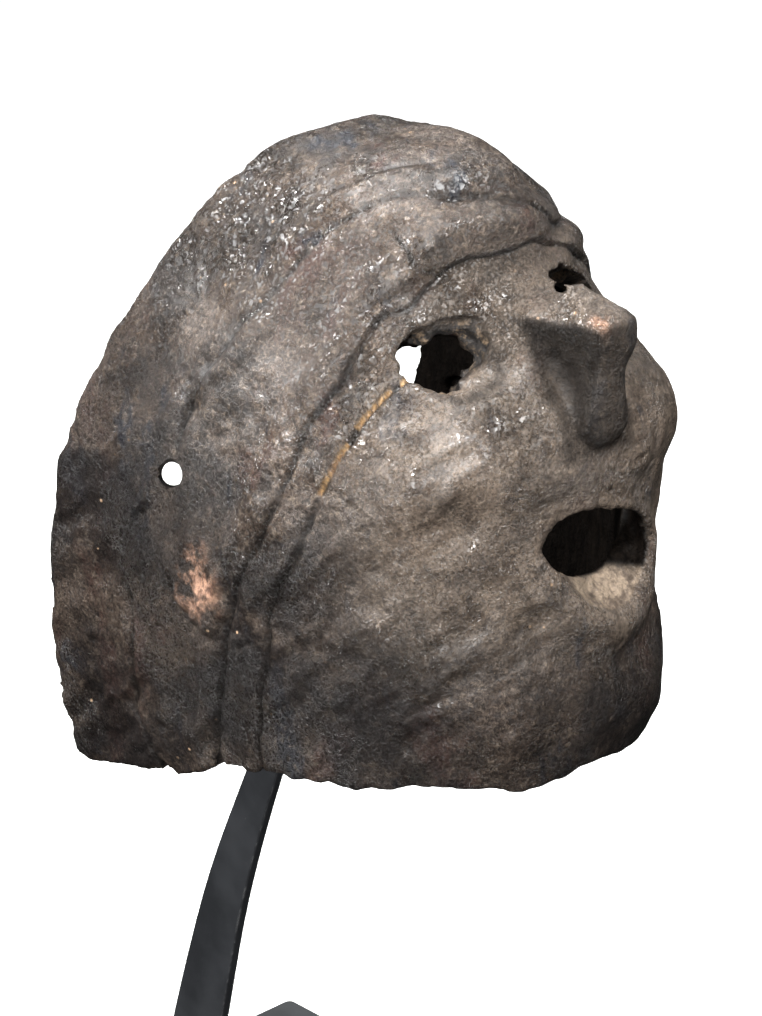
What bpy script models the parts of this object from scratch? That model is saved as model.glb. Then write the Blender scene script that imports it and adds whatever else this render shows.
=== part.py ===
"""Carved wooden helmet-like mask on a curved steel display stand.

Metres, +Z up.  The mask looks along -Y.  The origin is the centre of the
stand's underside.  Lengths below are in millimetres; the mask and the stand's
upright are laid out from the top of the nose, then moved to NOSE_TOP.
"""
import math

import bmesh
import bpy
import numpy as np
from mathutils import Vector

for old in list(bpy.data.objects):
    bpy.data.objects.remove(old, do_unlink=True)

MM = 0.001
NOSE_TOP = (0.0, -148.5, 418.5)      # where the top of the nose stands

# Mask shell
HALF_WIDTH = 88.0                    # widest, at the ears
HALF_WIDTH_BELOW = 80.0              # at the lower edge
EAR_Z = -100.0                       # height of the widest section
CROWN_RISE = 150.0                   # from the widest section to the crown
WALL = 13.0                          # thickness of the wood
FACE = [(-215, 6), (-198, 2), (-170, -5), (-150, -9), (-130, -6), (-111, -3), (-90, -2),
        (-75, -2), (-60, -4), (-45, -2), (-25, 6), (-12, 11), (-5, 17), (0, 24), (6, 30),
        (13, 33), (24, 36), (32, 41), (42, 51), (50, 68)]          # height, then how far back the middle of the face is
TEMPLE = [(-215, 96), (-50, 98), (-15, 106), (60, 106)]        # where the sides run straight
FULLNESS = [(-215, 2.1), (-75, 2.2), (-50, 2.45), (-38, 2.2), (-15, 1.75), (0, 1.8), (12, 2.1),
            (26, 2.1), (38, 2), (60, 2)]
RIM = [(-235, 200), (-205, 204), (-187, 206), (-164, 205), (-140, 203), (-115, 199.5),
       (-86, 193), (-68, 187), (-40, 176), (-15, 164), (10, 152), (28, 140), (40, 131),
       (48, 119), (72, 88)]   # open back edge
FAR_SIDE_SHORT = 0.34                # the left side stops this much of x sooner
SOCKET_DEPTH = 9.0
SOCKET_X, SOCKET_Z, SOCKET_SPREAD = 31.0, -14.0, 14.0
FOOT = [(-40, -171), (-8, -171), (0, -175), (15, -173.5), (38, -175), (68, -177.5), (98, -182),
        (113, -187), (135, -196), (160, -204), (187, -211.5), (215, -214)]     # back, height
EYE = {"right": (-41.0, -18.0, 11.5), "left": (18.0, -7.0, 7.5)}    # across, up, half height
EYE_HALF = 13.5
MOUTH_X, MOUTH_Z, MOUTH_HALF = 6.0, -93.0, (29.0, 15.0)
STRAP_Y, STRAP_Z, STRAP_R = 129.0, -74.0, 4.7
STRAP_AIM = (0.64, -0.70, 0.31)      # bored on a slant, forward as it comes out
CENTRE = (0.0, 95.0, -85.0)          # middle of the hollow

# Nose: height, half width at the face, half width in front, how far forward, how deep
NOSE = [(1.5, 10.0, 4.5, 3.0, 32.0), (-3.0, 16.0, 9.0, -8.5, 26.0), (-5.5, 18.0, 10.0, -10.5, 24.0),
        (-14, 13.0, 9.0, -11.5, 18.0), (-30, 11.0, 8.6, -9.0, 9.0), (-50, 10.0, 8.0, -6.0, 5.0)]

# Stand
BASE_HALF = (83.0, 108.0)
BASE_THICK, UNDERLAY = 7.0, 1.5
STEM_THICK = 4.5
STEM = [(231, -403.4, 31), (219, -358, 28), (202, -300, 22.5), (179, -241, 16.5), (157, -190, 14),
        (137, -140, 13), (121, -90, 12), (111, -40, 12), (108, 27.2, 12)]    # back, height, width
BAR_GAP, BAR_THICK, BAR_WIDE = 7.2, 3.5, 10.0
BAR_Y = 108.0
BAR_REACH = math.radians(34)
SLEEVE_FROM, SLEEVE_WALL = math.radians(20), 3.6
FLANGE = (24.0, 18.0, 6.0)           # half across, half along, thickness
SCREW_R, SCREW_SPACING = 2.6, 14.5
GAP = 0.3


def material(name, colour, rough, metallic=0.0):
    made = bpy.data.materials.new(name)
    made.use_nodes = True
    shader = made.node_tree.nodes["Principled BSDF"]
    shader.inputs["Base Color"].default_value = (*colour, 1.0)
    shader.inputs["Roughness"].default_value = rough
    shader.inputs["Metallic"].default_value = metallic
    return made


def through(points, at):
    """A smooth curve through (position, value) points."""
    pts = np.array(sorted(points), float)
    x, y = pts[:, 0], pts[:, 1]
    slope = np.gradient(y, x)
    at = np.clip(at, x[0], x[-1])
    i = np.clip(np.searchsorted(x, at) - 1, 0, len(x) - 2)
    step = x[i + 1] - x[i]
    t = (at - x[i]) / step
    return ((2 * t**3 - 3 * t**2 + 1) * y[i] + (t**3 - 2 * t**2 + t) * step * slope[i]
            + (3 * t**2 - 2 * t**3) * y[i + 1] + (t**3 - t**2) * step * slope[i + 1])


def outside(x, y, z, inset):
    """Above zero outside the head shape shrunk by inset."""
    rise = CROWN_RISE - inset
    t = np.clip((z - EAR_Z) / rise, 0, 1)
    wide = HALF_WIDTH - inset
    below = np.clip((EAR_Z - z) / 105.0, 0, 2) ** 2 * (HALF_WIDTH - HALF_WIDTH_BELOW)
    half = np.maximum(np.where(z > EAR_Z, wide * np.sqrt(1 - t * t), wide - below), 0.5)
    squeeze = 1 + inset / 148.0 * np.clip((z - EAR_Z) / 60.0, 0, 1)
    level = EAR_Z + (z - EAR_Z) * squeeze
    front = through(FACE, level) + inset
    front = front + SOCKET_DEPTH * np.exp(-((np.abs(x) - SOCKET_X) / SOCKET_SPREAD) ** 2
                                          - ((z - SOCKET_Z) / SOCKET_SPREAD) ** 2)
    temple = through(TEMPLE, level)
    deep = np.maximum(temple - front, 1.0)
    power = through(FULLNESS, level)
    across = np.abs(x) / half
    back = np.clip(temple - y, 0, None) / deep
    over = np.clip(z - EAR_Z - rise, 0, None)
    return across**power + back**power - 1 + over * 10


def head(name, inset, around, up):
    """A closed, rounded solid of the head shape, longer than the mask behind and below."""
    ring = np.linspace(-math.pi, math.pi, around, endpoint=False)
    lift = np.linspace(-math.pi / 2, math.pi / 2, up + 2)[1:-1]
    turn, tilt = np.meshgrid(ring, lift)
    aim = np.stack([np.sin(turn) * np.cos(tilt), -np.cos(turn) * np.cos(tilt), np.sin(tilt)], -1)
    poles = np.array([[0.0, 0.0, -1.0], [0.0, 0.0, 1.0]])
    aim = np.concatenate([aim.reshape(-1, 3), poles])
    near = np.full(len(aim), 5.0)
    far = np.full(len(aim), 300.0)
    for _ in range(30):
        middle = (near + far) / 2
        at = np.array(CENTRE) + aim * middle[:, None]
        inside = ((outside(at[:, 0], at[:, 1], at[:, 2], inset) < 0)
                  & (at[:, 1] < 228 + inset) & (at[:, 2] > -222 - inset))
        near = np.where(inside, middle, near)
        far = np.where(inside, far, middle)
    at = np.array(CENTRE) + aim * near[:, None]
    faces = []
    for row in range(up - 1):
        for k in range(around):
            a, b = row * around + k, row * around + (k + 1) % around
            faces.append((a, b, b + around, a + around))
    low, high = len(at) - 2, len(at) - 1
    for k in range(around):
        faces.append((low, (k + 1) % around, k))
        top = (up - 1) * around
        faces.append((high, top + k, top + (k + 1) % around))
    return solid(name, at, faces)


def solid(name, points, faces, offset=NOSE_TOP):
    """A mesh object from millimetre points; faces are turned outwards."""
    mesh = bpy.data.meshes.new(name)
    placed = [((x + offset[0]) * MM, (y + offset[1]) * MM, (z + offset[2]) * MM)
              for x, y, z in points]
    mesh.from_pydata(placed, [], [tuple(int(i) for i in face) for face in faces])
    work = bmesh.new()
    work.from_mesh(mesh)
    bmesh.ops.recalc_face_normals(work, faces=work.faces)
    work.to_mesh(mesh)
    work.free()
    made = bpy.data.objects.new(name, mesh)
    bpy.context.scene.collection.objects.link(made)
    return made


def loft(name, rings, offset=NOSE_TOP):
    """A closed solid through rings of equal length."""
    n = len(rings[0])
    points = [p for ring in rings for p in ring]
    faces = [tuple(range(n)), tuple(range((len(rings) - 1) * n, len(rings) * n))]
    for r in range(len(rings) - 1):
        for k in range(n):
            a, b = r * n + k, r * n + (k + 1) % n
            faces.append((a, b, b + n, a + n))
    return solid(name, points, faces, offset)


def hide(cutter):
    cutter.hide_render = True
    cutter.display_type = "WIRE"


def combine(target, tool, how):
    step = target.modifiers.new(tool.name, "BOOLEAN")
    step.operation = how
    step.solver = "EXACT"
    step.object = tool
    hide(tool)


def apply_all(target):
    bpy.context.view_layer.update()
    graph = bpy.context.evaluated_depsgraph_get()
    mesh = bpy.data.meshes.new_from_object(target.evaluated_get(graph))
    tools = [m.object for m in target.modifiers if m.type == "BOOLEAN"]
    target.modifiers.clear()
    target.data = mesh
    for tool in tools:
        bpy.data.objects.remove(tool, do_unlink=True)


def smooth(target, degrees=32):
    target.data.polygons.foreach_set("use_smooth", [True] * len(target.data.polygons))
    target.data.set_sharp_from_angle(angle=math.radians(degrees))


def bevel(target, width, segments=2):
    step = target.modifiers.new("bevel", "BEVEL")
    step.width = width * MM
    step.segments = segments
    step.limit_method = "ANGLE"
    step.angle_limit = math.radians(40)


def tube_cut(name, middle, along, half_a, half_b, long, side):
    """An oval cutter through middle; side is the direction of half_a."""
    along = Vector(along).normalized()
    side = (Vector(side) - along * along.dot(Vector(side))).normalized()
    other = along.cross(side)
    rings = []
    for end in (-long, long):
        ring = []
        for k in range(20):
            a = 2 * math.pi * k / 20
            ring.append(tuple(Vector(middle) + along * end + side * half_a * math.cos(a)
                              + other * half_b * math.sin(a)))
        rings.append(ring)
    return loft(name, rings)


def face_depth(x, z):
    """How far back the outer surface is at this place on the face."""
    near, far = -40.0, 98.0
    for _ in range(40):
        middle = (near + far) / 2
        if outside(np.array(x), np.array(middle), np.array(z), 0.0) > 0:
            near = middle
        else:
            far = middle
    return far


def nose():
    rings = []
    for z, root, front, forward, deep in NOSE:
        rings.append([(-root, deep, z), (-front, forward + 2, z), (-front * 0.5, forward, z),
                      (front * 0.5, forward, z), (front, forward + 2, z), (root, deep, z)])
    return loft("nose", rings)


def rim_cutter():
    """Everything behind the open back edge."""
    levels = np.linspace(-234, 71, 25)
    edge = [(float(through(RIM, z)), float(z)) for z in levels]
    rings = []
    for x in (-120.0, 0.0, 120.0):
        back = max(x, 0.0) * FAR_SIDE_SHORT
        rings.append([(x, 275.0, -234.0)] + [(x, y - back, z) for y, z in edge]
                     + [(x, 275.0, 71.0)])
    return loft("rim_cut", rings)


def foot_cutter():
    """Everything below the lower edge, which drops toward the back."""
    depths = np.linspace(-80, 260, 35)
    outline = [(float(y), float(through(FOOT, y))) for y in depths]
    outline += [(260.0, -290.0), (-80.0, -290.0)]
    return loft("foot_cut", [[(x, y, z) for y, z in outline] for x in (-120.0, 120.0)])


def mask():
    made = head("mask_shell", 0.0, 64, 40)
    combine(made, nose(), "UNION")
    combine(made, head("hollow", WALL, 48, 30), "DIFFERENCE")
    combine(made, rim_cutter(), "DIFFERENCE")
    combine(made, foot_cutter(), "DIFFERENCE")
    for side, (x, z, half_high) in EYE.items():
        sign = 1 if x > 0 else -1
        y = face_depth(x, z)
        combine(made, tube_cut("eye_" + side, (x, y, z), (sign * 0.2, -0.93, 0.2), EYE_HALF,
                               half_high, 30.0, (1, sign * 0.5, 0)), "DIFFERENCE")
    combine(made, tube_cut("mouth", (MOUTH_X, 0, MOUTH_Z), (0, 1, 0.05), MOUTH_HALF[0],
                           MOUTH_HALF[1], 30.0, (1, 0, 0)), "DIFFERENCE")
    for sign in (-1, 1):
        combine(made, tube_cut("strap", (sign * 87, STRAP_Y, STRAP_Z), (sign * STRAP_AIM[0],
                               STRAP_AIM[1], STRAP_AIM[2]), STRAP_R, STRAP_R, 24.0, (0, 0, 1)),
                "DIFFERENCE")
    apply_all(made)
    smooth(made)
    pivot = Vector((0.0, (BAR_Y + NOSE_TOP[1]) * MM, NOSE_TOP[2] * MM))
    for vertex in made.data.vertices:
        vertex.co -= pivot
    made.location = pivot
    return made


def stem():
    """The upright: flat plate cut to a curve that tapers as it rises."""
    levels = np.linspace(STEM[0][1], STEM[-1][1], 34)
    back = through([(z, y) for y, z, _ in STEM], levels)
    wide = through([(z, w) for _, z, w in STEM], levels)
    lean = np.gradient(back, levels)
    lean[-6:] = lean[-6:] * np.linspace(1, 0, 6)
    lean[0] = 0.0
    rings = []
    for y, z, w, slope in zip(back, levels, wide, lean):
        n = math.hypot(1.0, slope)
        dy, dz = w / 2 / n, -slope * w / 2 / n
        half = STEM_THICK / 2
        rings.append([(-half, y - dy, z - dz), (half, y - dy, z - dz),
                      (half, y + dy, z + dz), (-half, y + dy, z + dz)])
    made = loft("stem_plate", rings)
    bevel(made, 0.7)
    return made


def base_piece(name, low, high, shrink, corner):
    """A plate of the base's outline between two heights."""
    half_x, half_y = BASE_HALF[0] - shrink, BASE_HALF[1] - shrink
    outline = []
    for qx, qy, start in ((1, 1, 0), (-1, 1, 90), (-1, -1, 180), (1, -1, 270)):
        for k in range(5):
            a = math.radians(start + 22.5 * k)
            outline.append((qx * (half_x - corner) + corner * math.cos(a),
                            qy * (half_y - corner) + corner * math.sin(a)))
    rings = [[(x, y, z) for x, y in outline] for z in (low, high)]
    return loft(name, rings, (0, 0, 0))


def flange():
    x, y, thick = FLANGE
    floor = UNDERLAY + BASE_THICK + GAP
    middle = STEM[0][0] + NOSE_TOP[1]
    rings = [[(-x, -y, z), (x, -y, z), (x, y, z), (-x, y, z)] for z in (floor, floor + thick - 1.4)]
    rings.append([(-x + 1.2, -y + 1.2, floor + thick), (x - 1.2, -y + 1.2, floor + thick),
                  (x - 1.2, y - 1.2, floor + thick), (-x + 1.2, y - 1.2, floor + thick)])
    made = loft("foot_flange", rings, (0, middle, 0))
    for k, end in enumerate((-1, 1)):
        hole = []
        for z, r in ((floor - 2, SCREW_R + GAP), (floor + thick - 3.2, SCREW_R + GAP),
                     (floor + thick - 3.19, SCREW_R + 1.9), (floor + thick + 2, SCREW_R + 1.9)):
            hole.append([(r * math.cos(a), r * math.sin(a), z)
                         for a in np.linspace(0, 2 * math.pi, 24, endpoint=False)])
        tool = loft("screw_hole_%d" % k, hole, (end * SCREW_SPACING, middle, 0))
        combine(made, tool, "DIFFERENCE")
    apply_all(made)
    return made


def screw(name, end):
    """Cap screw with a hexagon recess, its shank down in the base plate."""
    floor = UNDERLAY + BASE_THICK + GAP
    top = floor + FLANGE[2]
    middle = STEM[0][0] + NOSE_TOP[1]
    rings = []
    for z, r in ((UNDERLAY + 2.0, SCREW_R), (top - 2.9, SCREW_R), (top - 2.89, SCREW_R + 1.5),
                 (top - 0.1, SCREW_R + 1.5), (top + 0.3, SCREW_R + 1.1)):
        rings.append([(r * math.cos(a), r * math.sin(a), z)
                      for a in np.linspace(0, 2 * math.pi, 24, endpoint=False)])
    made = loft(name, rings, (end * SCREW_SPACING, middle, 0))
    key = [[(1.7 * math.cos(a), 1.7 * math.sin(a), z)
            for a in np.linspace(0, 2 * math.pi, 6, endpoint=False)]
           for z in (top - 1.9, top + 2)]
    combine(made, loft(name + "_key", key, (end * SCREW_SPACING, middle, 0)), "DIFFERENCE")
    apply_all(made)
    return made


def base():
    made = base_piece("base_plate", UNDERLAY, UNDERLAY + BASE_THICK, 0.0, 3.0)
    middle = STEM[0][0] + NOSE_TOP[1]
    for k, end in enumerate((-1, 1)):
        r = SCREW_R + GAP
        hole = [[(r * math.cos(a), r * math.sin(a), z)
                 for a in np.linspace(0, 2 * math.pi, 24, endpoint=False)]
                for z in (UNDERLAY + 1.6, UNDERLAY + BASE_THICK + 3)]
        tool = loft("base_hole_%d" % k, hole, (end * SCREW_SPACING, middle, 0))
        combine(made, tool, "DIFFERENCE")
    apply_all(made)
    return made


def arch(name, start, stop, thick, wide, steps):
    """A flat bar bent along the inside of the crown."""
    a_x = HALF_WIDTH - WALL - BAR_GAP
    a_z = CROWN_RISE - WALL - BAR_GAP
    rings = []
    for a in np.linspace(start, stop, steps):
        mid = Vector((a_x * math.sin(a), 0, a_z * math.cos(a)))
        out = Vector((mid.x / a_x**2, 0, mid.z / a_z**2)).normalized()
        ring = []
        for du, dy in ((-1, -1), (1, -1), (1, 1), (-1, 1)):
            p = mid + out * (du * thick / 2)
            ring.append((p.x, BAR_Y + dy * wide / 2, EAR_Z + p.z))
        rings.append(ring)
    return loft(name, rings)


def crown_bar():
    made = arch("crown_bar", -BAR_REACH, BAR_REACH, BAR_THICK, BAR_WIDE, 21)
    bevel(made, 0.6)
    return made


def sleeve(name, sign):
    """A soft sleeve pushed over one end of the crown bar."""
    start, stop = SLEEVE_FROM * sign, (BAR_REACH + math.radians(2.2)) * sign
    made = arch(name, start, stop, BAR_THICK + 2 * SLEEVE_WALL, BAR_WIDE + 2 * SLEEVE_WALL, 9)
    bevel(made, 1.6, 3)
    bore = arch(name + "_bore", (SLEEVE_FROM - 0.1) * sign, (BAR_REACH + 0.006) * sign,
                BAR_THICK + 2 * GAP, BAR_WIDE + 2 * GAP, 11)
    combine(made, bore, "DIFFERENCE")
    apply_all(made)
    return made


WOOD = material("encrusted_wood", (0.035, 0.028, 0.025), 0.5)
STEEL = material("blackened_steel", (0.03, 0.031, 0.034), 0.42, 0.6)
BASE_COAT = material("base_coating", (0.035, 0.037, 0.04), 0.45, 0.3)
BAR_COAT = material("crown_bar_coating", (0.03, 0.03, 0.032), 0.5, 0.3)
FLANGE_COAT = material("flange_coating", (0.03, 0.03, 0.032), 0.45, 0.3)
SOFT = material("black_rubber", (0.02, 0.02, 0.021), 0.8)
SHEET = material("underlay_rubber", (0.022, 0.022, 0.023), 0.85)
SCREW_STEEL = material("screw_steel", (0.07, 0.07, 0.075), 0.35, 0.9)

for piece, look in ((mask(), WOOD), (stem(), STEEL), (flange(), FLANGE_COAT), (base(), BASE_COAT),
                    (screw("flange_screw_right", -1), SCREW_STEEL),
                    (screw("flange_screw_left", 1), SCREW_STEEL),
                    (base_piece("base_underlay", 0.0, UNDERLAY - 0.05, 1.5, 3.0), SHEET),
                    (crown_bar(), BAR_COAT), (sleeve("sleeve_right", -1), SOFT),
                    (sleeve("sleeve_left", 1), SOFT)):
    piece.data.materials.clear()
    piece.data.materials.append(look)
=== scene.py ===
import math

import bmesh
import bpy
import numpy as np
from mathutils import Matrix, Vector


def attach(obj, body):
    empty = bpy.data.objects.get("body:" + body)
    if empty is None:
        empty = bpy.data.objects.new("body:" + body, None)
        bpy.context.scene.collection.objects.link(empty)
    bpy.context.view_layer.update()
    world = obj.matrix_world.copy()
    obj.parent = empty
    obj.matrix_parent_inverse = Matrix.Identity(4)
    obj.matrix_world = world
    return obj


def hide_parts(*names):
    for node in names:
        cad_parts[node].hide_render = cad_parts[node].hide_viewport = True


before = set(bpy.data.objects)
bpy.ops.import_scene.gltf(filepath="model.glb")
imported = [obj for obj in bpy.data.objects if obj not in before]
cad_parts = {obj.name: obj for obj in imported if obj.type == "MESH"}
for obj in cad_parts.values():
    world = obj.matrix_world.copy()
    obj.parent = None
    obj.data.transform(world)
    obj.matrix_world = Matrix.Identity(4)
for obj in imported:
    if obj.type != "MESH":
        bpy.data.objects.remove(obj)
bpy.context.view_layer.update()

# ---------------------------------------------------------------- dimensions
# Millimetres from the top of the nose, as in the CAD source; metres at the end.
MM = 0.001
NOSE_TOP = np.array((0.0, -148.5, 418.5))
HALF_WIDTH, HALF_WIDTH_BELOW, EAR_Z, CROWN_RISE, WALL = 88.0, 80.0, -100.0, 150.0, 13.0
FACE = [(-215, 6), (-198, 2), (-170, -5), (-150, -9), (-130, -6), (-111, -3), (-90, -2),
        (-75, -2), (-60, -4), (-45, -2), (-25, 6), (-12, 11), (-5, 17), (0, 24), (6, 30),
        (13, 33), (24, 36), (32, 41), (42, 51), (50, 68)]
TEMPLE = [(-215, 96), (-50, 98), (-15, 106), (60, 106)]
FULLNESS = [(-215, 2.1), (-75, 2.2), (-50, 2.45), (-38, 2.2), (-15, 1.75), (0, 1.8), (12, 2.1),
            (26, 2.1), (38, 2), (60, 2)]
RIM = [(-235, 200), (-205, 204), (-187, 206), (-164, 205), (-140, 203), (-115, 199.5),
       (-86, 193), (-68, 187), (-40, 176), (-15, 164), (10, 152), (28, 140), (40, 131),
       (48, 119), (72, 88)]
FAR_SIDE_SHORT = 0.34
SOCKET_DEPTH, SOCKET_X, SOCKET_Z, SOCKET_SPREAD = 9.0, 31.0, -14.0, 14.0
FOOT = [(-40, -171), (-8, -171), (0, -175), (15, -173.5), (38, -175), (68, -177.5), (98, -182),
        (113, -187), (135, -196), (160, -204), (187, -211.5), (215, -214)]
MOUTH_X, MOUTH_Z, MOUTH_HALF = 6.0, -93.0, (29.0, 15.0)
MOUTH_TILT = 0.24  # how far the mouth drops for each millimetre towards the far side
STRAP_Y, STRAP_Z, STRAP_R = 129.0, -74.0, 4.7
CENTRE = np.array((0.0, 95.0, -85.0))  # every part of the shell can be seen from here
FURTHEST_BACK, LOWEST = 228, -222
VOXEL = 1.0

# Carved lines of the head-wrap, from the left side over the brow to the right side
WRAP_EDGE = [(82, 110, -190), (85, 102, -150), (86, 90, -110), (82, 76, -70), (73, 66, -44),
             (62, 60, -22), (46, 50, -6), (32, 42, 3), (20, 37, 9), (9, 34, 13), (3, 34, 15),
             (-6, 34, 14), (-20, 37, 13), (-31, 43, 10), (-37, 46, 3), (-43, 48, -2),
             (-52, 55, -7), (-59, 57, -16), (-69, 59, -29), (-77, 63, -41), (-83, 69, -59),
             (-87, 79, -85), (-88, 90, -104), (-87, 99, -132), (-85, 105, -160),
             (-83, 110, -183), (-82, 112, -215)]
UPPER_FOLD = [(85, 127, -64), (81, 116, -48), (74, 104, -26), (64, 92, -6), (50, 72, 7),
              (34, 52, 14), (20, 38, 19), (13, 38, 24), (5, 38, 27), (-4, 40, 30), (-13, 44, 32),
              (-27, 56, 31), (-37, 69, 30), (-49, 80, 21), (-58, 89, 9), (-67, 96, -4),
              (-75, 108, -23), (-81, 121, -44), (-85, 126, -60)]
TOP_FOLD = [(-45, 90, 27), (-39, 84, 33), (-35, 80, 35), (-29, 75, 38), (-20, 65, 41)]
CHEEK_CRACK = [(-56, 40, -26), (-59, 41, -28), (-67, 44, -36), (-75, 47, -47), (-79, 52, -57),
               (-84, 64, -87), (-86, 73, -104), (-86, 79, -133), (-85, 84, -160), (-83, 87, -205)]
RIM_GROOVE = [(-87, 155, -130), (-86, 154, -150), (-85, 156, -165), (-84, 156, -177),
              (-83, 151, -190), (-81, 142, -214)]
SMALL_FOLD = [(-41, 58, 19), (-40, 54, 15), (-39, 50, 9), (-35, 46, 7)]


# ---------------------------------------------------------------- numbers
def through(points, at):
    """A smooth curve through the points, read at these places and held level past its ends."""
    pts = np.array(sorted(points), float)
    x, y = pts[:, 0], pts[:, 1]
    slope = np.gradient(y, x)
    at = np.clip(at, x[0], x[-1])
    i = np.clip(np.searchsorted(x, at) - 1, 0, len(x) - 2)
    step = x[i + 1] - x[i]
    t = (at - x[i]) / step
    return ((2 * t**3 - 3 * t**2 + 1) * y[i] + (t**3 - 2 * t**2 + t) * step * slope[i]
            + (3 * t**2 - 2 * t**3) * y[i + 1] + (t**3 - t**2) * step * slope[i + 1])


def smoothstep(a, b, x):
    """0 at a and before, 1 at b and beyond; a may be the larger."""
    t = np.clip((x - a) / (b - a), 0, 1)
    return t * t * (3 - 2 * t)


def hill(x, middle, width):
    return np.exp(-((x - middle) / width) ** 2)


TABLE = np.random.default_rng(7).uniform(-1, 1, 8192)


def noise(p, size, seed=0):
    """Smooth value noise between -1 and 1 at points p, with features of about this size."""
    q = p / size + seed * 17.31
    cell = np.floor(q).astype(np.int64)
    f = q - cell
    f = f * f * f * (f * (f * 6 - 15) + 10)
    total = np.zeros(len(p))
    for dx in (0, 1):
        for dy in (0, 1):
            for dz in (0, 1):
                key = ((cell[:, 0] + dx) * 73856093) ^ ((cell[:, 1] + dy) * 19349663)
                key = (key ^ ((cell[:, 2] + dz) * 83492791)) & 8191
                weight = ((f[:, 0] if dx else 1 - f[:, 0]) * (f[:, 1] if dy else 1 - f[:, 1])
                          * (f[:, 2] if dz else 1 - f[:, 2]))
                total += TABLE[key] * weight
    return total


def outside(x, y, z, inset):
    """Above zero outside the plain head shape, below zero inside it; inset makes it smaller."""
    rise = CROWN_RISE - inset
    t = np.clip((z - EAR_Z) / rise, 0, 1)
    wide = HALF_WIDTH - inset
    below = np.clip((EAR_Z - z) / 105.0, 0, 2) ** 2 * (HALF_WIDTH - HALF_WIDTH_BELOW)
    half = np.maximum(np.where(z > EAR_Z, wide * np.sqrt(1 - t * t), wide - below), 0.5)
    squeeze = 1 + inset / 148.0 * np.clip((z - EAR_Z) / 60.0, 0, 1)
    level = EAR_Z + (z - EAR_Z) * squeeze
    front = through(FACE, level) + inset
    front = front + SOCKET_DEPTH * np.exp(-((np.abs(x) - SOCKET_X) / SOCKET_SPREAD) ** 2
                                          - ((z - SOCKET_Z) / SOCKET_SPREAD) ** 2)
    temple = through(TEMPLE, level)
    deep = np.maximum(temple - front, 1.0)
    power = through(FULLNESS, level)
    across = np.abs(x) / half
    back = np.clip(temple - y, 0, None) / deep
    over = np.clip(z - EAR_Z - rise, 0, None)
    return across**power + back**power - 1 + over * 10


def reach(aim, inset, limit_y, limit_z):
    """How far the head shape's surface is from the centre in these directions."""
    near = np.full(len(aim), 5.0)
    far = np.full(len(aim), 300.0)
    for _ in range(26):
        middle = (near + far) / 2
        at = CENTRE + aim * middle[:, None]
        inside = ((outside(at[:, 0], at[:, 1], at[:, 2], inset) < 0)
                  & (at[:, 1] < limit_y) & (at[:, 2] > limit_z))
        near = np.where(inside, middle, near)
        far = np.where(inside, far, middle)
    return near


# ---------------------------------------------------------------- meshes
def solid(name, points, faces):
    """A closed mesh from points in millimetres."""
    mesh = bpy.data.meshes.new(name)
    mesh.from_pydata([tuple((np.array(p) + NOSE_TOP) * MM) for p in points], [],
                     [tuple(int(i) for i in face) for face in faces])
    work = bmesh.new()
    work.from_mesh(mesh)
    bmesh.ops.recalc_face_normals(work, faces=work.faces)
    work.to_mesh(mesh)
    work.free()
    made = bpy.data.objects.new(name, mesh)
    bpy.context.scene.collection.objects.link(made)
    return made


def loft(name, rings):
    """A solid through rings of points, closed at both ends."""
    n = len(rings[0])
    points = [p for ring in rings for p in ring]
    faces = [tuple(range(n)), tuple(range((len(rings) - 1) * n, len(rings) * n))]
    for r in range(len(rings) - 1):
        for k in range(n):
            a, b = r * n + k, r * n + (k + 1) % n
            faces.append((a, b, b + n, a + n))
    return solid(name, points, faces)


def head(name, inset, around, up):
    """The plain head shape, as points around the centre."""
    ring = np.linspace(-math.pi, math.pi, around, endpoint=False)
    lift = np.linspace(-math.pi / 2, math.pi / 2, up + 2)[1:-1]
    turn, tilt = np.meshgrid(ring, lift)
    aim = np.stack([np.sin(turn) * np.cos(tilt), -np.cos(turn) * np.cos(tilt), np.sin(tilt)], -1)
    aim = np.concatenate([aim.reshape(-1, 3), [[0.0, 0.0, -1.0], [0.0, 0.0, 1.0]]])
    at = CENTRE + aim * reach(aim, inset, FURTHEST_BACK + inset, LOWEST - inset)[:, None]
    faces = []
    for row in range(up - 1):
        for k in range(around):
            a, b = row * around + k, row * around + (k + 1) % around
            faces.append((a, b, b + around, a + around))
    bottom, top, last = len(at) - 2, len(at) - 1, (up - 1) * around
    for k in range(around):
        faces.append((bottom, (k + 1) % around, k))
        faces.append((top, last + k, last + (k + 1) % around))
    return solid(name, at, faces)


def combine(target, tool, how):
    """Joins the tool to the target or cuts it away, and removes the tool."""
    step = target.modifiers.new(tool.name, "BOOLEAN")
    step.operation = how
    step.solver = "MANIFOLD"
    step.object = tool
    bpy.context.view_layer.update()
    graph = bpy.context.evaluated_depsgraph_get()
    mesh = bpy.data.meshes.new_from_object(target.evaluated_get(graph))
    target.modifiers.clear()
    target.data = mesh
    bpy.data.objects.remove(tool, do_unlink=True)


def ragged_cut(name, middle, along, side, half_a, half_b, long, rough, seed, flare=0.0):
    """An uneven oval cutter of this length each way from its middle, wider at one end by flare."""
    along = np.array(along, float) / np.linalg.norm(along)
    side = np.array(side, float) - along * np.dot(along, side)
    side /= np.linalg.norm(side)
    other = np.cross(along, side)
    rng = np.random.default_rng(seed)
    n = 72
    angle = np.linspace(0, 2 * math.pi, n, endpoint=False)
    rings = []
    for step in np.linspace(-1, 1, 9):
        wobble = np.zeros(n)
        for k, size in ((2, 0.45), (3, 0.4), (5, 0.3), (9, 0.2), (14, 0.14)):
            wobble += size * np.cos(k * angle + rng.uniform(0, 6.28) * 0.25 + k * 1.7 + seed)
        grow = 1 + rough * wobble * 0.5 + flare * step
        rings.append([np.array(middle) + along * step * long + side * half_a * g * math.cos(a)
                      + other * half_b * g * math.sin(a) for a, g in zip(angle, grow)])
    return loft(name, rings)


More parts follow.
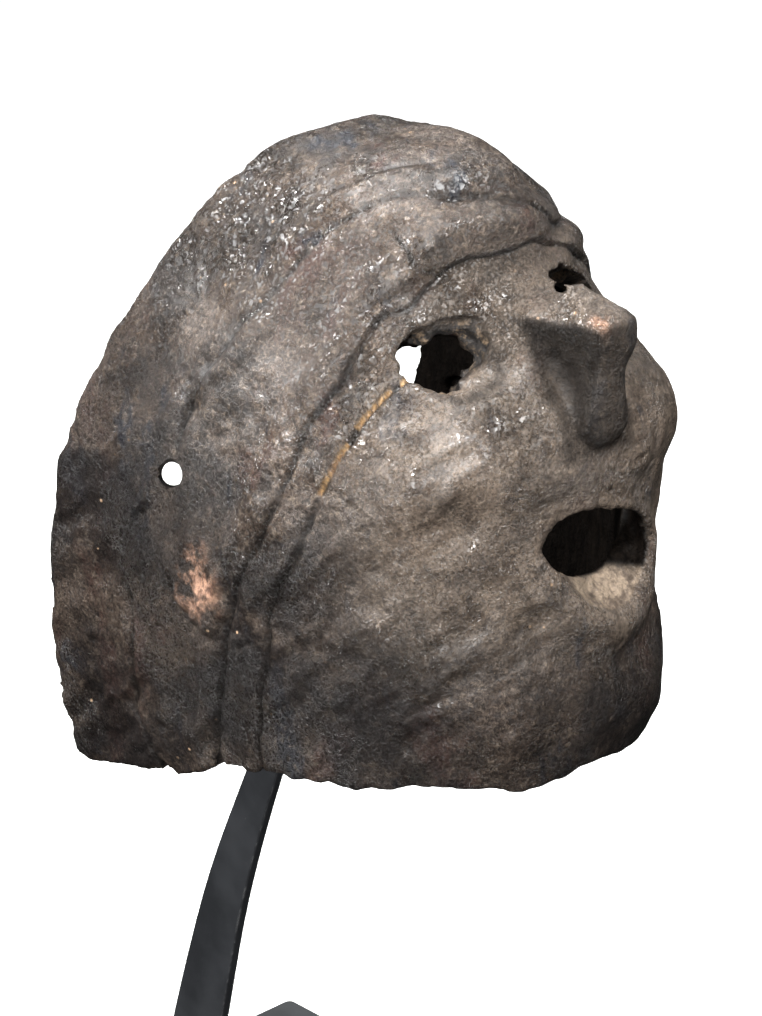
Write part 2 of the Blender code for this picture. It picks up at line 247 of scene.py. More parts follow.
def nose():
    """Wedge nose: a flat ledge on top, a blunt rounded front, fuller at the nostrils."""
    levels = [(5.0, 8.0, 3.5, 9.0, 34.0), (1.5, 10.0, 4.5, 4.0, 32.0), (-1.0, 13.0, 7.0, -2.0, 28.0),
              (-3.0, 16.0, 9.0, -6.5, 26.0), (-5.5, 18.0, 10.5, -9.5, 24.0),
              (-9.0, 16.5, 11.0, -10.6, 21.0), (-14, 15.0, 11.0, -10.8, 17.0),
              (-22, 13.5, 10.5, -9.4, 13.0), (-30, 13.0, 10.5, -8.4, 9.0),
              (-37, 13.5, 11.5, -8.6, 7.0), (-44, 13.5, 11.5, -8.2, 5.0), (-49, 12.0, 9.5, -6.0, 5.0),
              (-52, 9.0, 6.0, -2.5, 5.0)]
    corner = ((1.0, 5.0), (0.94, 2.7), (0.78, 1.0), (0.45, 0.0))
    rings = []
    for z, root, front, forward, deep in levels:
        half = []
        for t in np.linspace(0, 1, 9)[:-1]:
            pinch = 2.2 * math.sin(math.pi * t)
            half.append((root - (root - front) * t - pinch, deep + (forward + 5.0 - deep) * t))
        half += [(front * share, forward + behind) for share, behind in corner]
        rings.append([(-a, b, z) for a, b in half] + [(a, b, z) for a, b in reversed(half)])
    return loft("nose", rings)


def rim_cutter():
    """Everything behind the back edge, which is cut shorter on the far side."""
    levels = np.linspace(-234, 71, 120)
    edge = np.stack([through(RIM, levels), levels], -1)
    rings = []
    for x in np.linspace(-120, 120, 90):
        at = np.stack([np.full(len(edge), x), edge[:, 0], edge[:, 1]], -1)
        y = (edge[:, 0] - max(x, 0.0) * FAR_SIDE_SHORT + 1.0 * noise(at, 22, 3)
             + 0.5 * noise(at, 6, 4))
        rings.append([(x, 275.0, -234.0)] + [(x, b, z) for b, z in zip(y, edge[:, 1])]
                     + [(x, 275.0, 71.0)])
    return loft("rim_cut", rings)


def foot_cutter():
    """Everything below the worn lower edge, with its notches and chips."""
    rings = []
    depths = np.linspace(-40, 240, 280)
    for x in np.linspace(-110, 110, 200):
        at = np.stack([np.full(len(depths), x), depths, np.zeros(len(depths))], -1)
        z = through(FOOT, depths) + 0.7 * noise(at, 26, 5) + 0.7 * noise(at, 7, 6)
        for nx, ny, wide, rise in NOTCHES:
            z += rise * np.exp(-(((x - nx) / (wide * 3)) ** 2 + ((depths - ny) / wide) ** 2) ** 2)
        rings.append([(x, -60.0, -300.0)] + [(x, y, b) for y, b in zip(depths, z)]
                     + [(x, 260.0, z[-1]), (x, 260.0, -300.0)])
    return loft("foot_cut", rings)


NOTCHES = [(-82, 110, 1.6, 6.0), (-80, 144, 2.2, 4.0), (-79, 170, 12.0, 1.0), (30, -8, 5.0, 7.0),
           (12, -9, 3.0, 4.0), (-20, -7, 6.0, 2.0), (70, 60, 6.0, 3.0), (78, 130, 5.0, 4.0)]


def carved_block():
    """The shell with its nose, hollow, edges and holes, before the carving of its surface."""
    made = head("mask", 0.0, 300, 200)
    combine(made, nose(), "UNION")
    combine(made, head("hollow", WALL, 200, 130), "DIFFERENCE")
    combine(made, rim_cutter(), "DIFFERENCE")
    combine(made, foot_cutter(), "DIFFERENCE")
    combine(made, ragged_cut("eye_r", (-42, 34, -17), (-0.18, -0.76, 0.50), (-0.75, 0.4, -0.42),
                             16.0, 13.0, 26, 0.34, 3, 0.34), "DIFFERENCE")
    combine(made, ragged_cut("eye_l", (22, 30, -8), (-0.25, -0.80, 0.5), (0.85, 0.4, -0.40),
                             18.0, 11.0, 26, 0.24, 5, 0.2), "DIFFERENCE")
    combine(made, ragged_cut("mouth_cut", (MOUTH_X - 1, -2, MOUTH_Z + 2), (0.1, 1, 0.1),
                             (1, 0, -MOUTH_TILT), 31.0, 15.5, 24, 0.10, 8, -0.12), "DIFFERENCE")
    combine(made, ragged_cut("mouth_scoop", (MOUTH_X + 6, 3, MOUTH_Z - 4), (0.05, 1, 0.85),
                             (1, 0, -MOUTH_TILT), 27.0, 11.0, 20, 0.06, 9, -0.05), "DIFFERENCE")
    for sign in (-1, 1):
        combine(made, ragged_cut("strap", (sign * 87, STRAP_Y, STRAP_Z),
                                 (sign * 0.64, -0.70, 0.31), (0, 0, 1),
                                 STRAP_R, STRAP_R, 24, 0.05, 2), "DIFFERENCE")
    step = made.modifiers.new("remesh", "REMESH")
    step.mode = "VOXEL"
    step.voxel_size = VOXEL * MM
    ease = made.modifiers.new("ease", "SMOOTH")
    ease.factor = 0.5
    ease.iterations = 4
    bpy.context.view_layer.update()
    graph = bpy.context.evaluated_depsgraph_get()
    mesh = bpy.data.meshes.new_from_object(made.evaluated_get(graph))
    made.modifiers.clear()
    made.data = mesh
    return made


class Line:
    """A carved line lying on the outer surface."""

    def __init__(self, points):
        pts = np.array(points, float)
        aim = pts - CENTRE
        aim /= np.linalg.norm(aim, axis=1)[:, None]
        pts = CENTRE + aim * reach(aim, 0.0, FURTHEST_BACK, LOWEST)[:, None]
        gaps = np.concatenate([[0], np.cumsum(np.linalg.norm(np.diff(pts, axis=0), axis=1))])
        steps = np.arange(0, gaps[-1], 1.5)
        self.at = np.stack([through(list(zip(gaps, pts[:, k])), steps) for k in range(3)], -1)
        self.along = np.gradient(self.at, axis=0)
        self.along /= np.linalg.norm(self.along, axis=1)[:, None]

    def measure(self, points, normals):
        """Signed distance (above zero on the upper, outer side), fade past the line's ends, and
        place along it from 0 to 1."""
        best = np.full(len(points), 1e9)
        pick = np.zeros(len(points), int)
        for i in range(len(self.at)):
            d = np.sum((points - self.at[i]) ** 2, axis=1)
            nearer = d < best
            best[nearer] = d[nearer]
            pick[nearer] = i
        offset = points - self.at[pick]
        side = np.cross(self.along[pick], normals)
        signed = np.sum(offset * side, axis=1)
        beyond = np.sum(offset * self.along[pick], axis=1)
        ends = (pick == 0) | (pick == len(self.at) - 1)
        fade = np.where(ends, np.exp(-(beyond / 5.0) ** 2), 1.0)
        return signed, fade, pick / len(self.at)


def carve(made):
    """Moves the points of the plain carved shell to its folds, lips, crack, pits and wear."""
    mesh = made.data
    count = len(mesh.vertices)
    flat = np.empty(count * 3, np.float32)
    mesh.vertices.foreach_get("co", flat)
    co = flat.reshape(-1, 3).astype(float) / MM - NOSE_TOP
    mesh.vertices.foreach_get("normal", flat)
    normals = flat.reshape(-1, 3).astype(float)
    aim = co - CENTRE
    radius = np.linalg.norm(aim, axis=1)
    aim /= radius[:, None]
    surface = reach(aim, 0.0, 400, -400)
    # how deep each point lies below the plain outer surface, and so which wall it is on
    depth = surface - radius
    outer = 1 - smoothstep(1.5, 6.0, depth)
    inner = smoothstep(11.2, 12.6, depth)
    wall = (1 - outer) * (1 - inner)
    x, y, z = co[:, 0], co[:, 1], co[:, 2]
    wander = co + np.stack([noise(co, 9, k) for k in (11, 12, 13)], -1) * 1.1
    near = outer > 0.02
    here, face_out = wander[near], normals[near]
    facing = aim[near] * 0.5 + face_out * 0.5
    facing /= np.linalg.norm(facing, axis=1)[:, None]
    lift = np.zeros(near.sum())
    dark = np.zeros(near.sum())

    def fold(line, rise, reach_mm, cut, width, ridge=0.0, ridge_at=8.0, ridge_wide=5.0,
             both=0.0):
        """A step up beside a line, with a dark groove at its foot, darkened by painted shade, and a
        ridge further off. It weakens towards the line's end, and towards its start by the share both."""
        nonlocal lift, dark
        s, fade, share = Line(line).measure(here, facing)
        step = smoothstep(-0.6, 1.0, s) * np.exp(-np.clip(s, 0, None) / reach_mm)
        keep = (1 - 0.65 * smoothstep(0.62, 0.78, share)
                - 0.65 * smoothstep(0.32, 0.2, share) * both)
        lift += fade * (rise * keep * step - cut * np.exp(-(s / width) ** 2)
                        + ridge * hill(s, ridge_at, ridge_wide))
        broken = 0.5 + 0.5 * smoothstep(-0.5, 0.2, noise(here, 7, 61))
        # painted shade along the groove at the step's foot, broken in places
        dark = np.maximum(dark, fade * broken * np.exp(-((s + 0.2) / (width * 1.25)) ** 2))
        return s, fade, share

    # the folds of the head-wrap and the long crack down the cheek
    wrap_s, _, _ = fold(WRAP_EDGE, 2.1, 20.0, 1.1, 0.9, 1.3, 9.0, 5.0, 1.0)
    lift -= 1.2 * hill(wrap_s, 19, 6)
    upper_s, upper_fade, _ = fold(UPPER_FOLD, 1.3, 20.0, 1.0, 0.9, 0.9, 8.0, 4.0, 1.0)
    lift += 1.4 * hill(upper_s, -7, 4.5) * upper_fade
    fold(TOP_FOLD, 1.0, 10.0, 0.7, 0.9)
    crack_s, crack_fade, share = fold(CHEEK_CRACK, 1.0, 12.0, 1.1, 0.8)
    fold(RIM_GROOVE, 0.8, 12.0, 0.6, 1.0)
    fold(SMALL_FOLD, 1.4, 6.0, 0.9, 1.0)
    open_part = (share < 0.28) & (noise(here, 5, 21) > -0.45)
    bare = crack_fade * hill(crack_s, 0.5, 0.5) * open_part
    lift -= 1.0 * bare

    # lips, eyelids, cheeks and the hollow beside the nose
    hx, hy, hz = here[:, 0], here[:, 1], here[:, 2]
    level = hz - MOUTH_Z + MOUTH_TILT * (hx - MOUTH_X)
    tall = MOUTH_HALF[1] + 8.0 * smoothstep(0, -8, level)
    oval = np.sqrt(((hx - MOUTH_X) / MOUTH_HALF[0]) ** 2 + (level / tall) ** 2)
    front = smoothstep(40, 20, hy)
    below = smoothstep(-86, -100, hz)
    lift += front * hill(oval, 1.2, 0.24) * (1.2 + 1.6 * below)
    lift -= front * 1.8 * hill(oval, 1.85, 0.3) * below
    for ex, ez in ((-42, -18), (20, -8)):
        ring = np.sqrt(((hx - ex) / 15) ** 2 + ((hz - ez) / 10.5) ** 2)
        lift += front * 1.0 * hill(ring, 1.25, 0.3)
    for middle in (-12, 12):
        lift -= (3.0 * np.exp(-((hx - middle) / 6) ** 2 - ((hz + 26) / 13) ** 2)
                 * smoothstep(26, 14, hy))

    # the blunt crown, the full far cheek and the swelling on the near side
    lift -= 3.2 * np.exp(-((hx + 2) / 22) ** 2 - ((hy - 102) / 26) ** 2) * smoothstep(30, 44, hz)
    lift += 2.6 * np.exp(-((hx - 48) / 16) ** 2 - ((hz + 46) / 13) ** 2) * smoothstep(60, 40, hy)
    lift += 2.5 * np.exp(-((hx - 36) / 16) ** 2 - ((hz + 160) / 12) ** 2) * smoothstep(60, 40, hy)
    lift -= 4.6 * smoothstep(2, 18, hx) * smoothstep(4, 16, hz) * smoothstep(54, 42, hz)
    blob = np.sqrt(((hy - 112) / 15) ** 2 + ((hz + 112) / 17) ** 2) + 0.12 * noise(here, 8, 51)
    blob_side = smoothstep(-40, -60, hx)
    lift += 2.0 * smoothstep(1.15, 0.75, blob) * blob_side
    lift -= 0.9 * hill(blob, 1.12, 0.12) * blob_side * smoothstep(-108, -122, hz)

    # tool marks, crust and pits
    lift += 1.2 * noise(here, 42, 31) + 0.7 * noise(here, 19, 32) + 0.45 * noise(here, 10, 39)
    crusty = smoothstep(-0.25, 0.5, noise(here, 30, 33) + 0.35 * noise(here, 11, 34))
    lift += (0.12 + 0.22 * crusty) * noise(here, 5.0, 35)
    lift += (0.05 + 0.20 * crusty) * noise(here, 2.4, 36)
    lift -= 0.8 * smoothstep(0.62, 0.9, noise(here, 4.2, 37)) * crusty
    streak = np.stack([hx, hy, hz * 0.35], -1)
    lift += 0.25 * noise(streak, 4.0, 38)
    slant = np.stack([hx * 0.4, (hz + hy) * 0.9, (hz - hy) * 0.25], -1)
    slanting = smoothstep(5, -30, hx) * (1 - 0.75 * smoothstep(8, 28, hz))
    lift += slanting * (1.1 * noise(slant, 8.5, 47) + 0.4 * noise(slant, 4.0, 48))

    # soot and painted shade on the nose, the painted shade darkest on its outward-facing flanks; soot
    # in the mouth's corners and around the eyes; rubbed spots; pale dust, partly painted light on the
    # face
    nose_part = smoothstep(27, 20, hy) * smoothstep(20, 16, np.abs(hx)) * smoothstep(-5.0, -8.0, hz)
    nose_part *= smoothstep(-58, -52, hz)
    # painted shade: the nose's outward-facing sides are darkened more
    flank = smoothstep(-0.15, -0.5, facing[:, 0] * np.sign(-hx))
    soot_and_painted_shade = nose_part * (0.68 + 0.27 * flank)
    soot_and_painted_shade = np.maximum(soot_and_painted_shade, 0.8 * front * hill(oval, 0.95, 0.16) * smoothstep(-92, -84, hz))
    rims = np.zeros(len(hx))
    for (ex, ez, ea, eb) in ((-42, -18, 15.5, 12.5), (21, -8, 16.0, 10.5)):
        ring = np.sqrt(((hx - ex) / ea) ** 2 + ((hz - ez) / eb) ** 2)
        rims = np.maximum(rims, hill(ring, 0.95, 0.16))
    soot_and_painted_shade = np.maximum(soot_and_painted_shade, 0.6 * rims * front)
    worn = smoothstep(1.0, 0.5, blob) * blob_side
    worn = np.maximum(worn, np.exp(-((hx + 7) / 4) ** 2 - ((hz + 4) / 4) ** 2) * smoothstep(0, -6, hy))
    # pale dust and painted light: the whole face front and the lower lip's rim are made paler
    face = smoothstep(62, 30, hy) * smoothstep(-150, -100, hz) * smoothstep(22, 8, hz)
    lip = front * below * smoothstep(0.85, 0.95, oval) * smoothstep(1.5, 1.2, oval)

    def everywhere(values):
        """Values of the outer wall's points, as values of all points."""
        filled = np.zeros(count)
        filled[near] = values
        return filled

    share_out = outer[near]
    move = everywhere(lift * share_out)
    groove = everywhere(dark * share_out)
    bare = everywhere(bare * share_out)
    worn = everywhere(worn * share_out)
    soot_and_painted_shade = everywhere(soot_and_painted_shade * share_out)
    # pale dust, partly painted light, on the face front and the lower lip's rim
    dust = everywhere(np.clip(0.75 * face + lip, 0, 1))
    # painted shade: darker towards the bottom and the lower back, where less light falls from above
    low_painted_shade = smoothstep(-50, -115, z) * smoothstep(20, 60, y) + smoothstep(-105, -150, z)
    low_painted_shade += smoothstep(95, 165, y) * 0.8 * smoothstep(20, -30, z)

    # the adzed inside, the torn walls of the holes and the cleaner slope of the lower lip; painted
    # shade on the mouth's walls above that slope
    move += inner * (0.9 * noise(co, 16, 41) + 0.35 * noise(co, 6, 42))
    holes = wall * smoothstep(60, 45, y) * smoothstep(-150, -140, z)
    level = z - MOUTH_Z + MOUTH_TILT * (x - MOUTH_X)
    by_mouth = smoothstep(46, 38, np.abs(x - MOUTH_X)) * smoothstep(34, 28, np.abs(z - MOUTH_Z))
    slope = (by_mouth * smoothstep(-7, -11, level) * smoothstep(0.6, 1.8, depth) * (1 - inner)
             * smoothstep(24, 16, y))
    mouth_wall_painted_shade = (by_mouth * smoothstep(-11, -7, level) * smoothstep(0.4, 1.6, depth)
            * smoothstep(24, 16, y))
    rough_wall = holes * (1 - 0.8 * by_mouth)
    move += rough_wall * (2.0 * noise(co, 7, 43) + 1.5 * noise(co, 3.2, 44))
    move += slope * 0.4 * noise(co, 4, 49)
    move += (wall - holes) * (0.4 * noise(co, 7, 45) + 0.25 * noise(co, 3, 46))
    # painted shade: the mouth's walls above the lip's slope get the dark colour of the inside
    soot_and_painted_shade = np.maximum(soot_and_painted_shade, mouth_wall_painted_shade)
    inner = np.maximum(inner, mouth_wall_painted_shade)
    holes = holes * (1 - by_mouth)
    co = co + normals * move[:, None]
    mesh.vertices.foreach_set("co", ((co + NOSE_TOP) * MM).astype(np.float32).ravel())
    for name, values in (("groove", groove), ("bare", bare), ("inner", inner), ("torn", holes),
                         ("soot_and_painted_shade", soot_and_painted_shade), ("worn", worn), ("dust", dust), ("slope", slope),
                         ("low_painted_shade", np.clip(low_painted_shade, 0, 1))):
        layer = mesh.attributes.new(name, "FLOAT", "POINT")
        layer.data.foreach_set("value", values.astype(np.float32))
    mesh.update()
    mesh.shade_smooth()


# ---------------------------------------------------------------- materials
class Nodes:
    """Short names for making a material's nodes."""

    def __init__(self, name):
        self.material = bpy.data.materials.new(name)
        self.material.use_nodes = True
        self.tree = self.material.node_tree
        self.shader = self.tree.nodes["Principled BSDF"]
        self.place = self.tree.nodes.new("ShaderNodeTexCoord").outputs["Object"]

    def new(self, kind, **values):
        node = self.tree.nodes.new(kind)
        for key, value in values.items():
            setattr(node, key, value)
        return node

    def link(self, a, b):
        self.tree.links.new(a, b)

    def put(self, value, socket):
        if isinstance(value, bpy.types.NodeSocket):
            self.link(value, socket)
        else:
            socket.default_value = value

    def moved(self, scale=(1, 1, 1), shift=(0, 0, 0)):
        node = self.new("ShaderNodeMapping")
        node.inputs["Scale"].default_value = scale
        node.inputs["Location"].default_value = shift
        self.link(self.place, node.inputs["Vector"])
        return node.outputs["Vector"]

    def grain(self, scale, detail=4.0, rough=0.55, twist=0.0, place=None):
        node = self.new("ShaderNodeTexNoise")
        node.inputs["Scale"].default_value = scale
        node.inputs["Detail"].default_value = detail
        node.inputs["Roughness"].default_value = rough
        node.inputs["Distortion"].default_value = twist
        self.link(place or self.place, node.inputs["Vector"])
        return node.outputs["Fac"]

    def cells(self, scale):
        node = self.new("ShaderNodeTexVoronoi", feature="F1")
        node.inputs["Scale"].default_value = scale
        self.link(self.place, node.inputs["Vector"])
        return node.outputs["Distance"]

    def span(self, value, a, b, c=0.0, d=1.0):
        """Eases from c to d as the value goes from a to b."""
        node = self.new("ShaderNodeMapRange", interpolation_type="SMOOTHSTEP")
        self.link(value, node.inputs["Value"])
        for key, number in (("From Min", a), ("From Max", b), ("To Min", c), ("To Max", d)):
            node.inputs[key].default_value = number
        return node.outputs["Result"]

    def sum(self, kind, a, b):
        node = self.new("ShaderNodeMath", operation=kind)
        self.put(a, node.inputs[0])
        self.put(b, node.inputs[1])
        return node.outputs[0]

    def mix(self, share, a, b, kind="MIX"):
        node = self.new("ShaderNodeMix", data_type="RGBA", blend_type=kind)
        self.put(share, node.inputs["Factor"])
        for value, socket in ((a, node.inputs["A"]), (b, node.inputs["B"])):
            if isinstance(value, tuple):
                socket.default_value = (*value, 1.0)
            else:
                self.link(value, socket)
        return node.outputs["Result"]

    def layer(self, name):
        """A value that carve() left on the mesh."""
        node = self.new("ShaderNodeAttribute", attribute_name=name)
        return node.outputs["Fac"]

    def bump(self, heights):
        """heights: (socket, strength, distance in metres) from coarse to fine."""
        last = None
        for value, strength, far in heights:
            node = self.new("ShaderNodeBump")
            node.inputs["Strength"].default_value = strength
            node.inputs["Distance"].default_value = far
            self.link(value, node.inputs["Height"])
            if last is not None:
                self.link(last, node.inputs["Normal"])
            last = node.outputs["Normal"]
        self.link(last, self.shader.inputs["Normal"])


def old_wood():
    """Dark encrusted wood: crust and dust over it, raw wood where it is broken, painted shade low down,
    in the grooves, on the nose and inside; the face's dust is partly painted light.
    """
    n = Nodes("encrusted_wood")
    patches = n.grain(24.0, 6.0, 0.62, 0.4)
    second = n.grain(34.0, 5.0, 0.6, 0.3, n.moved((1, 1, 0.4), (0.3, 0.1, 0.7)))
    fine = n.grain(330.0, 6.0, 0.7, 0.3)
    speck = n.grain(1500.0, 3.0, 0.6)
    crust = n.grain(560.0, 6.0, 0.66, 0.5)
    colour = n.mix(n.span(patches, 0.40, 0.60), (0.017, 0.0125, 0.0098), (0.060, 0.044, 0.034))
    colour = n.mix(n.span(second, 0.56, 0.70, 0.0, 0.7), colour, (0.058, 0.028, 0.022))
    blue = n.grain(48.0, 6.0, 0.68, 0.8, n.moved((1, 1, 0.3), (2.3, 1.1, 0.2)))
    colour = n.mix(n.span(blue, 0.56, 0.66, 0.0, 0.9), colour, (0.015, 0.018, 0.025))
    dusty = n.sum("MULTIPLY", n.span(fine, 0.50, 0.64), n.span(patches, 0.3, 0.6, 0.3, 1.0))
    colour = n.mix(n.sum("MULTIPLY", dusty, 0.66), colour, (0.165, 0.130, 0.100))
    colour = n.mix(n.span(speck, 0.66, 0.74, 0.0, 0.55), colour, (0.34, 0.25, 0.17))
    colour = n.mix(n.span(crust, 0.50, 0.38, 0.0, 0.8), colour, (0.009, 0.0075, 0.007))
    # pale dust, partly painted light, on the face front and the lower lip's rim
    powder_and_painted_light = n.sum("MULTIPLY", n.layer("dust"), n.span(n.grain(120.0, 6.0, 0.7), 0.36, 0.60, 0.25, 1.0))
    colour = n.mix(n.sum("MULTIPLY", powder_and_painted_light, 0.75), colour, (0.150, 0.117, 0.090))
    # painted shade towards the bottom and the lower back
    shade = n.sum("MULTIPLY", n.layer("low_painted_shade"), n.span(patches, 0.62, 0.40, 0.55, 1.0))
    colour = n.mix(n.sum("MULTIPLY", shade, 0.85), colour, (0.0085, 0.0070, 0.0068))
    pepper = n.span(n.grain(950.0, 4.0, 0.8), 0.36, 0.62, 0.5, 1.5)
    colour = n.mix(1.0, colour, pepper, "MULTIPLY")
    chips = n.span(n.cells(120.0), 0.10, 0.05)
    chips = n.sum("MULTIPLY", chips, n.span(n.grain(14.0, 2.0, 0.5), 0.54, 0.60))
    colour = n.mix(chips, colour, (0.36, 0.24, 0.15))
    rubbed = n.mix(n.span(fine, 0.35, 0.62), (0.085, 0.045, 0.032), (0.42, 0.25, 0.17))
    colour = n.mix(n.sum("MULTIPLY", n.layer("worn"), n.span(n.grain(90.0, 5.0, 0.7), 0.42, 0.60)),
                   colour, rubbed)
    # painted shade in the grooves at the folds' feet
    colour = n.mix(n.sum("MULTIPLY", n.layer("groove"), 0.9), colour, (0.006, 0.005, 0.0045))
    # soot, with painted shade on the nose's flanks and the mouth's walls
    colour = n.mix(n.sum("MULTIPLY", n.layer("soot_and_painted_shade"), 0.92), colour, (0.006, 0.005, 0.0045))
    fibre = n.grain(160.0, 5.0, 0.6, 0.0, n.moved((3, 3, 0.5)))
    raw = n.mix(n.span(fibre, 0.35, 0.65), (0.20, 0.105, 0.045), (0.60, 0.38, 0.18))
    colour = n.mix(n.layer("bare"), colour, raw)
    torn = n.mix(n.span(n.grain(170.0, 7.0, 0.75), 0.48, 0.62), (0.010, 0.0075, 0.006),
                 (0.26, 0.18, 0.11))
    colour = n.mix(n.sum("MULTIPLY", n.layer("torn"), 0.85), colour, torn)
    tan = n.mix(n.span(n.grain(150.0, 6.0, 0.7, 0.3), 0.36, 0.62), (0.075, 0.052, 0.036),
                (0.34, 0.26, 0.185))
    colour = n.mix(n.sum("MULTIPLY", n.layer("slope"), 0.9), colour, tan)
    # painted shade: the inside and the mouth's walls above the lip are coloured near black
    inside = n.mix(n.span(fibre, 0.3, 0.7), (0.0018, 0.0014, 0.0012), (0.006, 0.0045, 0.0035))
    colour = n.mix(n.layer("inner"), colour, inside)
    n.link(colour, n.shader.inputs["Base Color"])
    polish = n.span(n.grain(26.0, 4.0, 0.6, 0.3, n.moved((1, 1, 1), (5.1, 0.4, 0.9))), 0.42, 0.58)
    dull = n.sum("MAXIMUM", n.layer("inner"), n.sum("MULTIPLY", n.layer("soot_and_painted_shade"), 0.8))
    rough = n.span(crust, 0.38, 0.62, 0.52, 0.34)
    rough = n.sum("SUBTRACT", rough, n.sum("MULTIPLY", polish, 0.17))
    rough = n.sum("ADD", rough, n.sum("MULTIPLY", dull, 0.3))
    rough = n.sum("ADD", rough, n.sum("MULTIPLY", n.sum("MAXIMUM", n.layer("torn"), n.layer("slope")),
                                      0.3))
    n.link(rough, n.shader.inputs["Roughness"])
    shine = n.sum("SUBTRACT", 0.62, n.sum("MULTIPLY", dull, 0.60))
    shine = n.sum("SUBTRACT", shine, n.sum("MULTIPLY", n.layer("low_painted_shade"), 0.40))
    n.link(n.sum("MAXIMUM", shine, 0.02), n.shader.inputs["Specular IOR Level"])
    caked = n.span(n.grain(20.0, 4.0, 0.6, 0.2, n.moved((1, 1, 1), (1.7, 6.4, 2.2))), 0.42, 0.58, 0.15,
                   1.0)
    grit = n.sum("MULTIPLY", n.span(crust, 0.42, 0.62), caked)
    n.bump([(n.grain(130.0, 3.0, 0.55), 0.5, 0.0016), (grit, 0.8, 0.0009), (speck, 0.4, 0.0001)])
    return n.material


def painted_steel(name, tint, gloss):
    """Satin paint, thin along the edges."""
    n = Nodes(name)
    cloud = n.grain(35.0, 4.0, 0.55)
    orange = n.grain(2600.0, 2.0, 0.5)
    dust = n.grain(700.0, 5.0, 0.7)
    dark = tuple(c * 0.8 for c in tint)
    light = tuple(c * 1.25 for c in tint)
    colour = n.mix(n.span(cloud, 0.3, 0.7), dark, light)
    colour = n.mix(n.span(dust, 0.66, 0.78, 0.0, 0.35), colour, (0.16, 0.16, 0.155))
    edge = n.new("ShaderNodeBevel", samples=4)
    edge.inputs["Radius"].default_value = 0.0007
    geometry = n.new("ShaderNodeNewGeometry")
    apart = n.new("ShaderNodeVectorMath", operation="DOT_PRODUCT")
    n.link(edge.outputs["Normal"], apart.inputs[0])
    n.link(geometry.outputs["Normal"], apart.inputs[1])
    worn = n.span(apart.outputs["Value"], 0.995, 0.90)
    worn = n.sum("MULTIPLY", worn, n.span(n.grain(160.0, 4.0, 0.6), 0.50, 0.66))
    colour = n.mix(n.sum("MULTIPLY", worn, 0.6), colour, (0.22, 0.22, 0.22))
    n.link(colour, n.shader.inputs["Base Color"])
    n.link(n.span(cloud, 0.3, 0.7, gloss - 0.05, gloss + 0.08), n.shader.inputs["Roughness"])
    n.shader.inputs["Specular IOR Level"].default_value = 0.45
    n.bump([(orange, 0.12, 0.0001)])
    return n.material


def rubber(name):
    n = Nodes(name)
    colour = n.mix(n.span(n.grain(300.0, 4.0, 0.6), 0.35, 0.65), (0.012, 0.012, 0.012),
                   (0.035, 0.034, 0.033))
    n.link(colour, n.shader.inputs["Base Color"])
    n.shader.inputs["Roughness"].default_value = 0.8
    n.bump([(n.grain(1800.0, 4.0, 0.6), 0.3, 0.0002)])
    return n.material


def steel_screw():
    n = Nodes("screw_steel")
    colour = n.mix(n.span(n.grain(500.0, 4.0, 0.6), 0.4, 0.6), (0.05, 0.05, 0.052),
                   (0.12, 0.12, 0.125))
    n.link(colour, n.shader.inputs["Base Color"])
    n.shader.inputs["Metallic"].default_value = 0.9
    n.link(n.span(n.grain(900.0, 3.0, 0.6), 0.3, 0.7, 0.28, 0.45), n.shader.inputs["Roughness"])
    n.bump([(n.grain(2200.0, 2.0, 0.5), 0.2, 0.0001)])
    return n.material


# ---------------------------------------------------------------- the object
mask = carved_block()
carve(mask)
mask.name = "mask_carving"
mask.data.materials.clear()
mask.data.materials.append(old_wood())
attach(mask, "mask")
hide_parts("mask_shell")


def finish_in(material, *names):
    for name in names:
        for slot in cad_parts[name].material_slots:
            slot.material = material


finish_in(painted_steel("blackened_steel", (0.0155, 0.0165, 0.0185), 0.42),
          "stem_plate", "foot_flange", "crown_bar")
finish_in(painted_steel("base_coating", (0.040, 0.042, 0.0445), 0.45), "base_plate")
finish_in(rubber("black_rubber"), "base_underlay", "sleeve_right", "sleeve_left")
finish_in(steel_screw(), "flange_screw_right", "flange_screw_left")

# ---------------------------------------------------------------- the studio
floor_mesh = bpy.data.meshes.new("floor")
floor_mesh.from_pydata([(-6, -6, 0), (6, -6, 0), (6, 9, 0), (-6, 9, 0)], [], [(0, 1, 2, 3)])
floor = bpy.data.objects.new("floor", floor_mesh)
bpy.context.scene.collection.objects.link(floor)
paper = bpy.data.materials.new("paper")
paper.use_nodes = True
paper_look = paper.node_tree.nodes["Principled BSDF"].inputs
paper_look["Base Color"].default_value = (0.93, 0.93, 0.92, 1)
paper_look["Roughness"].default_value = 0.9
paper_look["Emission Color"].default_value = (1, 1, 1, 1)
paper_look["Emission Strength"].default_value = 0.62
floor.data.materials.append(paper)
floor.visible_diffuse = False
floor.visible_glossy = False


def lamp(name, place, aim, size, power):
    """A round white lamp, size in metres and power in watts."""
    data = bpy.data.lights.new(name, "AREA")
    data.shape = "DISK"
    data.size = size
    data.energy = power
    made = bpy.data.objects.new(name, data)
    made.location = place
    made.rotation_mode = "QUATERNION"
    made.rotation_quaternion = (Vector(aim) - Vector(place)).to_track_quat("-Z", "Y")
    bpy.context.scene.collection.objects.link(made)


HEART = (0.0, -0.07, 0.33)
lamp("key", (-0.30, -0.97, 1.68), HEART, 0.42, 49.0)
lamp("top", (-0.25, 0.10, 1.75), HEART, 0.60, 4.0)
lamp("rear", (-0.66, 0.82, 1.34), HEART, 0.12, 48.0)
lamp("side", (-1.03, 0.35, 0.90), HEART, 0.10, 9.0)
lamp("cheek", (-1.05, -0.67, 0.61), (-0.064, -0.125, 0.367), 0.09, 17.0)

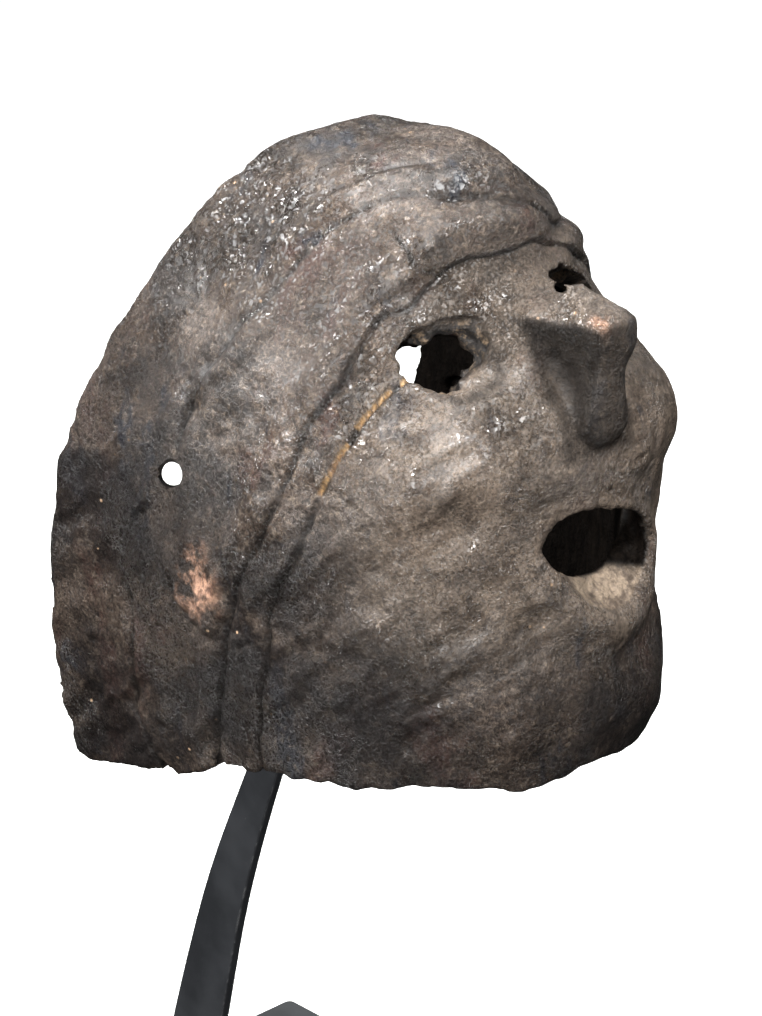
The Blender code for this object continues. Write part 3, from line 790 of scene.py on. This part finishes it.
# white to the camera; for the light it gives, dim at the horizon and brighter overhead
world = bpy.data.worlds.new("studio")
bpy.context.scene.world = world
world.use_nodes = True
sky = world.node_tree
dome = sky.nodes["Background"]
dome.inputs["Color"].default_value = (1, 1, 1, 1)
seen = sky.nodes.new("ShaderNodeLightPath").outputs["Is Camera Ray"]
place = sky.nodes.new("ShaderNodeTexCoord").outputs["Generated"]
split = sky.nodes.new("ShaderNodeSeparateXYZ")
sky.links.new(place, split.inputs[0])
height = sky.nodes.new("ShaderNodeMapRange")
for key, number in (("From Min", -0.1), ("From Max", 0.9), ("To Min", 0.03), ("To Max", 0.35)):
    height.inputs[key].default_value = number
sky.links.new(split.outputs["Z"], height.inputs["Value"])
brightest = sky.nodes.new("ShaderNodeMath")
brightest.operation = "MAXIMUM"
sky.links.new(height.outputs["Result"], brightest.inputs[0])
sky.links.new(seen, brightest.inputs[1])
sky.links.new(brightest.outputs[0], dome.inputs["Strength"])

# ---------------------------------------------------------------- the camera
AZIMUTH, ELEVATION = math.radians(-44), math.radians(20)
DISTANCE, NOSE_RIGHT, NOSE_UP = 1.0, 0.0755, 0.0707  # metres, and the nose off the middle
SENSOR_MM, LENS_MM, NEAREST = 36, 102.8, 0.05
back = Vector((math.sin(AZIMUTH) * math.cos(ELEVATION), -math.cos(AZIMUTH) * math.cos(ELEVATION),
               math.sin(ELEVATION)))
right = Vector((math.cos(AZIMUTH), math.sin(AZIMUTH), 0))
up = back.cross(right)
camera_data = bpy.data.cameras.new("camera")
camera_data.sensor_width = SENSOR_MM
camera_data.lens = LENS_MM
camera_data.clip_start = NEAREST
camera = bpy.data.objects.new("camera", camera_data)
camera.location = (Vector(NOSE_TOP) * MM + back * DISTANCE - right * NOSE_RIGHT - up * NOSE_UP)
camera.rotation_mode = "QUATERNION"
camera.rotation_quaternion = (-back).to_track_quat("-Z", "Y")
bpy.context.scene.collection.objects.link(camera)
bpy.context.scene.camera = camera
bpy.context.scene.view_settings.view_transform = "Standard"
